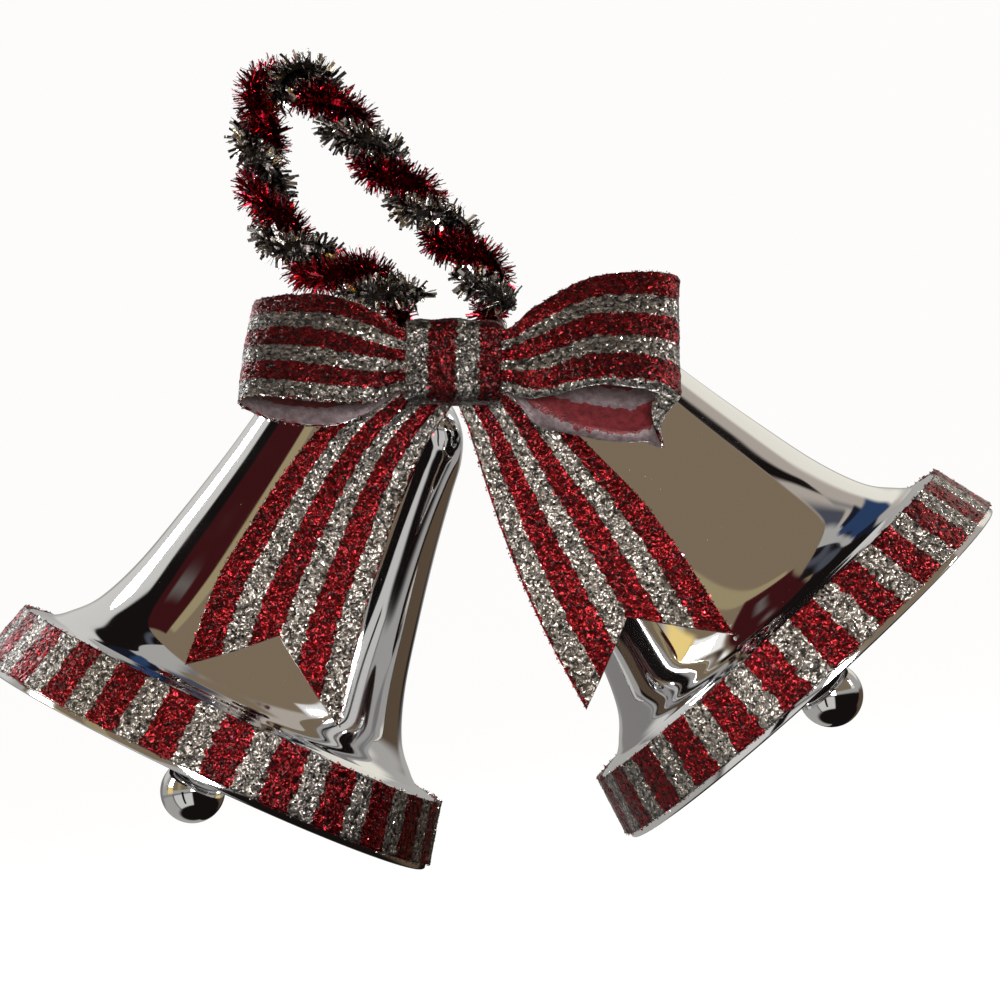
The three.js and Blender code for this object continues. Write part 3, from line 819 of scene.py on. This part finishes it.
def ribbon_object(name, grid, stripes, face_look=GLITTER, chip_density=0.4, wrap=False, period=0):
    """A closed ribbon from a grid of middle points: glitter face out, backing behind, chips on the face.
    stripes holds a UV for each point: the count of stripes, and the length along them."""
    rows, columns = grid.shape[:2]
    normals = grid_normals(grid, wrap)
    bumps = 0.65 * smooth_noise((rows, columns), 1, wrap) + 0.35 * smooth_noise((rows, columns), 5, wrap)
    face = grid + normals * (RIBBON_THICKNESS / 2 + CRUMPLE * bumps[..., None])
    back_bumps = 0.3 * CRUMPLE * smooth_noise((rows, columns), 3, wrap)[..., None]
    back = grid - normals * (RIBBON_THICKNESS / 2 - back_bumps)
    count = rows * columns
    front_faces = grid_faces(rows, columns, wrap_rows=wrap)
    back_faces = front_faces[:, ::-1] + count
    index = np.arange(count).reshape(rows, columns)
    rims = [index[::-1, 0], index[:, -1]]
    if not wrap:
        rims = [np.concatenate([index[0, :], index[1:, -1], index[-1, -2::-1], index[-2:0:-1, 0]])]
    sides = []
    for rim in rims:
        after = np.roll(rim, -1)
        sides.append(np.stack([after, rim, rim + count, after + count], 1))
    sides = np.concatenate(sides)
    area = np.linalg.norm(np.cross(np.gradient(grid, axis=0), np.gradient(grid, axis=1)), axis=2).sum()
    chips = int(area / MM**2 * chip_density)
    chip_points, chip_faces, chip_uv, chip_tint = chips_on(grid, normals, stripes, chips)
    flat_uv = stripes.reshape(-1, 2)
    quads = np.concatenate([front_faces, back_faces, sides])
    looks = np.repeat([0, 1, 0, 2], [len(part) for part in (front_faces, back_faces, sides, chip_faces)])
    made = mesh_object(
        name,
        np.concatenate([face.reshape(-1, 3), back.reshape(-1, 3), chip_points]),
        [quads, chip_faces + 2 * count],
        [face_look, BACKING, CHIPS],
        face_material=looks,
        uv=np.concatenate([flat_uv, flat_uv, chip_uv]),
        tint=np.concatenate([np.full(2 * count, 0.5), chip_tint]),
        smooth=np.concatenate([np.ones(len(quads), bool), np.zeros(len(chip_faces), bool)]),
        period=period,
    )
    return made


def ribbon_sheet(piece, body, cad_node, **sheet):
    """Gives a ribbon to its body, in its CAD node's place, and hides the CAD node; what sheet it is, given in
    sheet, is not used.
    """
    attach(piece, body)
    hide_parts(cad_node)


# Rim bands

BAND_STRIPES = 52
BAND_PHASE = {"left": 0.3, "right": 1.25}


def make_band(side):
    clear = GAP + RIBBON_THICKNESS
    foot_radius = lip_radius(BAND_FOOT) + clear
    rows = int(2 * math.pi * foot_radius / CELL)
    columns = int((LIP_HEIGHT - BAND_FOOT) / CELL) + 1
    angle = np.linspace(0, 2 * math.pi, rows, endpoint=False)[:, None]
    height = np.linspace(BAND_FOOT, LIP_HEIGHT, columns)[None, :]
    radius = lip_radius(height) + clear + 0 * angle
    ragged = BAND_RAGGED * smooth_noise((rows, 1), 4, True)
    grid = np.stack([radius * np.cos(angle), radius * np.sin(angle), height + ragged + 0 * angle], -1)
    count = np.broadcast_to(angle / (2 * math.pi) * BAND_STRIPES + BAND_PHASE[side], (rows, columns))
    stripes = np.stack([count, np.broadcast_to(height / STRIPE, (rows, columns))], -1)
    band = ribbon_object(f"band_{side}", grid[:, ::-1], stripes[:, ::-1], wrap=True, period=BAND_STRIPES)
    band.data.transform(bell_matrix(side))
    ribbon_sheet(
        band,
        f"bell_{side}",
        f"rim_band_{side}",
        flat=(LIP_HEIGHT - BAND_FOOT, 2 * math.pi * foot_radius),
        held="stretched",
        rests_on=[f"bell_shell_{side}"],
    )


for SIDE in SIDES:
    make_band(SIDE)

# Bow: places are counted in millimetres from the knot's centre, in the bow's own lean. A loop's
# rows are out, forward, up, how far its top edge leans away in degrees, and half its width. A
# tail's are right, up, how far it turns in its own plane in degrees, and half its width.

KNOT = CROSSING + np.array([-0.5, -37.5, -28.4]) * MM
BOW_TILT = math.radians(9.45)
HALF = 19.05
LEFT_LOOP = [
    [0, 3.2, 0, 0, 7.3], [12, 3.3, -0.3, 6, 7.4], [20, 5.5, 0.4, 25, 13],
    [32, 7, 2.1, 38.5, 18], [42, 6.5, 2.7, 44, HALF], [47.5, 4.8, 2.3, 45, HALF],
    [49, 2.4, 1, 45, HALF], [47, -0.2, -0.2, 44, HALF], [41, -1.6, -1.6, 41, HALF],
    [30, -1.6, -1.6, 34, 18], [20, -1.2, -0.6, 20, 13], [12, -0.5, 0, 6, 7.5],
    [0.8, 0.1, 0, 0, 7.3],
]
RIGHT_LOOP = [
    [0, 3.2, 0, 0, 7.3], [12, 3.3, 0.2, 6, 7.4], [20, 6, 1.5, 21, 13.5],
    [32, 8.4, 5.6, 33.5, 18.3], [44, 8.6, 5.9, 31.5, HALF], [50.5, 6.8, 4.9, 27, HALF],
    [52.5, 3.6, 3.6, 26, HALF], [50, 0, 0.4, 27, HALF], [43, -1.7, -4.8, 27, HALF],
    [30, -1.8, -3.9, 24, 18], [20, -1.2, -2.2, 14, 13], [12, -0.5, 0, 5, 7.5],
    [0.8, 0.1, 0, 0, 7.3],
]
LEFT_TAIL = [
    [-1.5, 3.5, 0, 7.4], [-8.5, -6, -8, 9], [-18.4, -16.2, -15, 11.9],
    [-25.6, -28.6, -18, 13.8], [-31.8, -43, -20, 15.9], [-38, -59.4, -21, 17.9],
    [-42.4, -79.2, -21.2, HALF],
]
RIGHT_TAIL = [
    [1.5, 3.5, 0, 7.4], [7.6, -4.6, 6, 8.5], [14.2, -13.1, 11.6, 10.7],
    [22.2, -26.6, 21, 14], [30.7, -40.8, 27, 17], [39.6, -56.2, 28, 18.6],
    [48.8, -72.1, 27.8, HALF],
]


def bow_direction(right, forward, up):
    """A direction, or an array of them, from the bow's own lean to the row frame."""
    right, forward, up = np.broadcast_arrays(right, forward, up)
    cos, sin = math.cos(BOW_TILT), math.sin(BOW_TILT)
    return np.stack([right * cos + up * sin, -forward, -right * sin + up * cos], -1)


def bow_place(right, forward, up):
    return KNOT + bow_direction(right, forward, up)


def resampled(stations, spacing):
    """Station rows drawn out smoothly, so that their places lie about a spacing apart."""
    fine = drawn_out(stations, 60 * len(stations))
    along = lengths_along(fine[:, :3])
    at = np.linspace(0, along[-1], int(along[-1] / spacing) + 1)
    return read_off(at, along, fine), at


HEM_SHARE, HEM_TURN, HEM_REACH = 1 / 6, math.radians(155), 1.4 * MM
HEM_CROSSING = 0.8 * MM  # how far behind the tip it turns the other way
HEM_STARTS, HEM_GROWS = 12 * MM, 8 * MM
LOOP_PLEAT, LOOP_SAG, LOOP_WAVE = 1.9, 0.5 * MM, 11 * MM


def hem_weight(out, forward):
    """How the right loop's lowest stripe is turned: under the front, flat at the tip, out behind."""
    turned_in = np.clip((forward + HEM_CROSSING) / MM, -1, 1)
    return turned_in * np.clip((out - HEM_STARTS) / HEM_GROWS, 0, 1)


def loop_grid(rows, side):
    stations = np.array(rows, float)
    stations[:, 3] = np.radians(stations[:, 3])
    stations[:, [0, 1, 2, 4]] *= MM
    stations, along = resampled(stations, CELL)
    out, forward, up, lean, half = stations.T
    columns = int(RIBBON_WIDTH / CELL) + 1
    share = np.linspace(-1, 1, columns)
    centre = bow_place(side * out, forward, up)
    across = bow_direction(0, -np.sin(lean), np.cos(lean))
    grid = centre[:, None] + across[:, None] * (half[:, None] * share[None, :])[..., None]
    if side > 0:
        weight = hem_weight(out, forward)
        into = grid_normals(grid, False)[:, columns // 2]
        first = int(round(columns * HEM_SHARE))
        step = (2 * half / (columns - 1))[:, None]
        for k in range(first - 1, -1, -1):
            turn = (weight * np.minimum(HEM_TURN, (first - k) * step[:, 0] / HEM_REACH))[:, None]
            grid[:, k] = grid[:, k + 1] + step * (into * np.sin(turn) - across * np.cos(turn))
    gather = np.clip(1 - half / (HALF * MM), 0, 1)[:, None]
    pleat = np.cos(3.5 * math.pi * share)[None, :] * gather * LOOP_PLEAT * MM
    sag = LOOP_SAG * np.sin(along / LOOP_WAVE)[:, None] * (1 - gather) * (share**2)[None, :]
    normals = grid_normals(grid, False)
    return grid + normals * (pleat * (out > 14 * MM)[:, None] * 0.5 + sag)[..., None], along


def stripes_across(along, low, high, columns):
    """A UV for each point of a ribbon whose stripes run along it, from one count of stripes to another."""
    shape = (len(along), columns)
    count = np.broadcast_to(np.linspace(low, high, columns), shape)
    return np.stack([count, np.broadcast_to((along / STRIPE)[:, None], shape)], -1)


def make_loops():
    """Both loops as one strip, from the back of the left one, round in front, to the back of the right."""
    left, left_along = loop_grid(LEFT_LOOP, -1)
    right, right_along = loop_grid(RIGHT_LOOP, 1)
    grid = np.concatenate([left[::-1], right[1:]])
    along = np.concatenate([-left_along[::-1], right_along[1:]])
    stripes = stripes_across(along, 0, 6, grid.shape[1])
    # the loops wear the glitter copy darkened with painted shade
    loops = ribbon_object("bow_loops_ribbon", grid[:, ::-1], stripes, SHADED_LOOP_GLITTER)
    loops.visible_glossy = False
    ribbon_sheet(
        loops,
        "ornament",
        "bow_loops",
        flat=(RIBBON_WIDTH, float(along[-1] - along[0])),
        held="gathered",
        rests_on=["tie_wire"],
    )


make_loops()

# Tails: they lie in front of the bells, clear of them wherever they swing.

SWING = math.radians(JOINTS["bell_swing_left"]["range_deg"][1])
TAIL_CLEARANCE, TAIL_FRONT = 2.2, 28.6  # millimetres, from a bell and from the axes
TAIL_LAP = 1.5 * MM  # the right tail lies this far in front
TAIL_PLEAT, TAIL_RIPPLE, TAIL_WAVE = 1.6, 0.5 * MM, 9 * MM
NOTCH_DEPTH = 16 * MM


def tail_forward(centre, across, half, side, word):
    """How far in front of the axes each place of a tail's centre line lies."""
    front = np.full(len(centre), TAIL_FRONT * MM)
    spread = math.acos(UP_AXIS[word][2])
    heights, radii = drawn_out(FLANK, 121).T[::-1]
    for edge in (-1, -0.5, 0, 0.5, 1):
        offset = centre + across * (edge * half)[:, None] - PIVOT[word]
        for swing in np.linspace(0, SWING, 5):
            angle = side * (spread + swing)
            x = offset[:, 0] * math.cos(angle) + offset[:, 2] * math.sin(angle)
            z = -offset[:, 0] * math.sin(angle) + offset[:, 2] * math.cos(angle)
            radius = np.interp(PIVOT_HEIGHT + z, heights, radii, right=0)
            face = np.sqrt(np.maximum(0, radius**2 - x**2))
            front = np.maximum(front, face + TAIL_CLEARANCE * MM)
    return front


def make_tail(rows, side, word):
    stations = np.array(rows, float)
    stations[:, 2] = np.radians(stations[:, 2])
    stations[:, [0, 1, 3]] *= MM
    stations = drawn_out(stations, 600)
    right, up, turn, half = stations.T
    across = bow_direction(np.cos(turn), 0, np.sin(turn))
    centre = bow_place(right, 0, up)
    forward = tail_forward(centre, across, half, side, word)
    forward = np.convolve(np.pad(forward, 20, mode="edge"), np.ones(41) / 41, mode="valid")
    centre[:, 1] = -forward - (TAIL_LAP if word == "right" else 0)
    along = lengths_along(centre)
    length = along[-1]
    row_count, columns = int(length / CELL), int(RIBBON_WIDTH / CELL) + 1
    share = np.linspace(-1, 1, columns)
    reach = length - NOTCH_DEPTH * (1 - np.abs(share))
    at = np.linspace(0, 1, row_count)[:, None] * reach[None, :]
    half_here = np.interp(at, along, half)
    over = read_off(at, along, across) * (half_here * share[None, :])[..., None]
    grid = read_off(at, along, centre) + over
    gather = np.clip(1 - half_here / (HALF * MM), 0, 1)
    pleat = np.cos(3.2 * math.pi * share + 0.6)[None, :] * gather * TAIL_PLEAT * MM
    ripple = TAIL_RIPPLE * np.sin(at / TAIL_WAVE + 2.0 * share[None, :]) * (1 - gather) * share[None, :] ** 2
    grid[..., 1] -= np.maximum(pleat + ripple, -1.2 * MM)
    stripes = np.stack([np.broadcast_to(np.linspace(0, 6, columns), at.shape), at / STRIPE], -1)
    if word == "right":
        stripes[..., 0] += 1
    tail = ribbon_object(f"bow_tail_{word}", grid[:, ::-1], stripes[:, ::-1])
    tail.visible_glossy = False
    ribbon_sheet(
        tail,
        "ornament",
        "bow_tails",
        flat=(RIBBON_WIDTH, float(length)),
        area=float(RIBBON_WIDTH * (length - NOTCH_DEPTH / 2)),
        held="hung",
        rests_on=["bow_loops"],
    )


make_tail(LEFT_TAIL, -1, "left")
make_tail(RIGHT_TAIL, 1, "right")

KNOT_WIDTH, KNOT_HEIGHT, KNOT_DEPTH, KNOT_CORNER = 22 * MM, 20.4 * MM, 12 * MM, 4 * MM
KNOT_STRIPES = (1.15, 4.85)  # counts of stripes at its two edges
KNOT_TUCK, KNOT_CREASE = 1.1 * MM, 0.45 * MM


def make_knot():
    """The wrap round the bow's waist: a rounded band whose edges turn in a little."""
    corners = []
    for k, start in enumerate((0, 90, 180, 270)):
        x = (1 if k in (0, 3) else -1) * (KNOT_DEPTH / 2 - KNOT_CORNER)
        y = (1 if k in (0, 1) else -1) * (KNOT_HEIGHT / 2 - KNOT_CORNER)
        corners += arc((x, y), KNOT_CORNER, start, start + 90, 24)
    outline = np.array(corners + corners[:1])
    along = lengths_along(outline)
    rows = int(along[-1] / CELL)
    at = np.arange(rows) / rows * along[-1]
    ring = read_off(at, along, outline)
    columns = int(KNOT_WIDTH / CELL) + 1
    share = np.linspace(-1, 1, columns)
    edges_in = KNOT_TUCK * np.abs(share) ** 5
    creases = KNOT_CREASE * (1 - np.cos(2.2 * math.pi * share)) / 2
    tuck = edges_in + creases + RIBBON_THICKNESS / 2
    outward = unit(ring)[:, None] * tuck[None, :, None]
    section = ring[:, None] - outward
    right = np.broadcast_to(KNOT_WIDTH / 2 * share[None, :], section.shape[:2])
    grid = bow_place(right, section[..., 0], section[..., 1])
    stripes = stripes_across(at, *KNOT_STRIPES, columns)
    # the knot wears the glitter copy darkened most, with painted shade
    knot = ribbon_object("bow_knot_wrap", grid, stripes, SHADED_KNOT_GLITTER, chip_density=0.2, wrap=True)
    ribbon_sheet(
        knot,
        "ornament",
        "bow_knot",
        flat=(4 * STRIPE, float(along[-1])),
        held="folded",
        rests_on=["bow_loops"],
    )


make_knot()

# The wire that ties the bow to the bells keeps its CAD shape.
for cad_object in bpy.data.objects:
    if cad_object.name == "tie_wire":
        cad_object.data.polygons.foreach_set("use_smooth", [True] * len(cad_object.data.polygons))
        for slot_item in cad_object.material_slots:
            slot_item.material = FINISHES["steel_wire"]

# Stage and light

FLOOR_DROP = 30 * MM
COVE_RADIUS, COVE_BEND, COVE_HEIGHT = 3.0, 1.2, 4


def make_stage():
    paper = {"Base_Color": (0.04, 0.04, 0.04, 1), "Emission_Color": (1, 0.995, 0.99, 1)}
    material, _ = new_material("stage_paper", Roughness=0.9, Emission_Strength=0.96, **paper)
    floor_height = CAD_BOX[0].z - FLOOR_DROP
    level = COVE_RADIUS - COVE_BEND
    profile = [[0.00001, floor_height], *([r, floor_height] for r in np.linspace(0.2, level, 9))]
    profile += arc((level, floor_height + COVE_BEND), COVE_BEND, -90, 0, 24)[1:]
    profile += [[COVE_RADIUS, floor_height + COVE_HEIGHT]]
    points, faces = turned(profile, 96, closed=False)
    cove = mesh_object("cove", points, faces, [material])
    for ray in ("glossy", "diffuse", "transmission", "shadow"):
        setattr(cove, f"visible_{ray}", False)


def area_light(name, bearing, height, distance, size, power, colour):
    """A small panel that faces the middle of the view, from a bearing and a height in degrees."""
    bearing, height = math.radians(bearing), math.radians(height)
    level = distance * math.cos(height)
    place = Vector((level * math.sin(bearing), -level * math.cos(bearing), distance * math.sin(height)))
    data = bpy.data.lights.new(name, "AREA")
    data.shape, data.size, data.size_y = "RECTANGLE", *size
    data.energy, data.color = power, colour
    light = bpy.data.objects.new(name, data)
    light.location = Vector(FOCUS) + place
    light.rotation_mode = "QUATERNION"
    light.rotation_quaternion = (-place).to_track_quat("-Z", "Y")
    bpy.context.scene.collection.objects.link(light)


make_stage()
area_light("lamp", -80, 24, 1.0, (0.25, 0.35), 5, (1.0, 0.95, 0.86))
area_light("front", 6, 2, 1.0, (0.26, 0.26), 8, (1.0, 0.97, 0.93))
area_light("window", -135, 36, 1.1, (0.2, 0.3), 2.5, (0.93, 0.96, 1.0))
area_light("side", 84, 20, 1.0, (0.08, 0.2), 5, (1.0, 0.97, 0.93))

# The room round the studio, by compass bearing from the front, to the right, and by height above
# the level, in degrees: what the mirror bells reflect.
PALE, BRIGHT = (0.40, 0.39, 0.37), (0.64, 0.63, 0.60)
TAN, CREAM, BROWN = (0.215, 0.163, 0.107), (0.34, 0.28, 0.155), (0.10, 0.07, 0.045)
BLACK, MAROON, NAVY = (0.008, 0.006, 0.006), (0.045, 0.007, 0.008), (0.010, 0.012, 0.022)
BLUE, STEEL = (0.025, 0.05, 0.12), (0.07, 0.075, 0.095)
BEIGE, GREY = (0.44, 0.39, 0.34), (0.22, 0.21, 0.205)
PATCHES = [
    # bearing from, to, height from, to, softness, colour
    (-200, 200, -95, -2, 6, BLACK),
    (-200, -70, -50, -3, 12, PALE),
    (-66, 4, -50, -5, 6, BRIGHT),
    (-34, -26, -40, 2, 2, BLACK),
    (112, 160, -27, 3, 8, BROWN),
    (-200, -112, 16, 54, 14, BRIGHT),
    (-165, -128, -12, 16, 6, GREY),
    (-98, 92, 9, 95, 3, TAN),
    (-48, -34, 9, 70, 3, CREAM),
    (-97, -46, 43, 75, 3, MAROON),
    (-84, -62, 55, 60, 5, (0.13, 0.11, 0.10)),
    (-116, -95, 38, 92, 4, BLACK),
    (-200, -95, 53, 95, 3, BLACK),
    (-200, -95, 79, 83, 3, STEEL),
    (-94, -70, 16, 41, 3, (0.95, 0.94, 0.90)),
    (-92, -68, 1, 16, 6, (0.90, 0.68, 0.25)),
    (77, 93, 8, 30, 3, (0.75, 0.74, 0.72)),
    (90, 170, 30, 70, 5, BEIGE),
    (92, 136, 60, 74, 8, STEEL),
    (90, 120, 48.5, 53, 2, BLACK),
    (120, 150, 54, 58, 5, GREY),
    (146, 200, 53, 72, 4, NAVY),
    (156, 168, 35, 75, 4, BLUE),
    (128, 168, 14, 41, 6, (0.84, 0.81, 0.72)),
]


def eased(tree, value, edge, soft):
    """0 below an edge and 1 above it, with a soft step between."""
    inputs = {"Value": value, "From Min": edge - soft / 2, "From Max": edge + soft / 2}
    return node(tree, "ShaderNodeMapRange", inputs, interpolation_type="SMOOTHSTEP").outputs[0]


def make_world():
    world = bpy.data.worlds.new("studio")
    world.use_nodes = True
    tree = world.node_tree
    direction = node(tree, "ShaderNodeTexCoord").outputs["Generated"]
    x, y, z = node(tree, "ShaderNodeSeparateXYZ", {"Vector": direction}).outputs
    bearing = math_node(tree, "ARCTAN2", x, math_node(tree, "MULTIPLY", y, -1.0))
    bearing = math_node(tree, "DEGREES", bearing)
    height = math_node(tree, "DEGREES", math_node(tree, "ARCSINE", z))

    def inside(value, low, high, soft):
        return math_node(tree, "SUBTRACT", eased(tree, value, low, soft), eased(tree, value, high, soft))

    colour = PALE
    for left, right, low, high, soft, paint in PATCHES:
        across, upward = inside(bearing, left, right, soft), inside(height, low, high, soft)
        colour = mixed(tree, math_node(tree, "MULTIPLY", across, upward), colour, paint)
    tree.links.new(colour, tree.nodes["Background"].inputs[0])
    bpy.context.scene.world = world


make_world()
bpy.context.scene.view_settings.view_transform = "Standard"
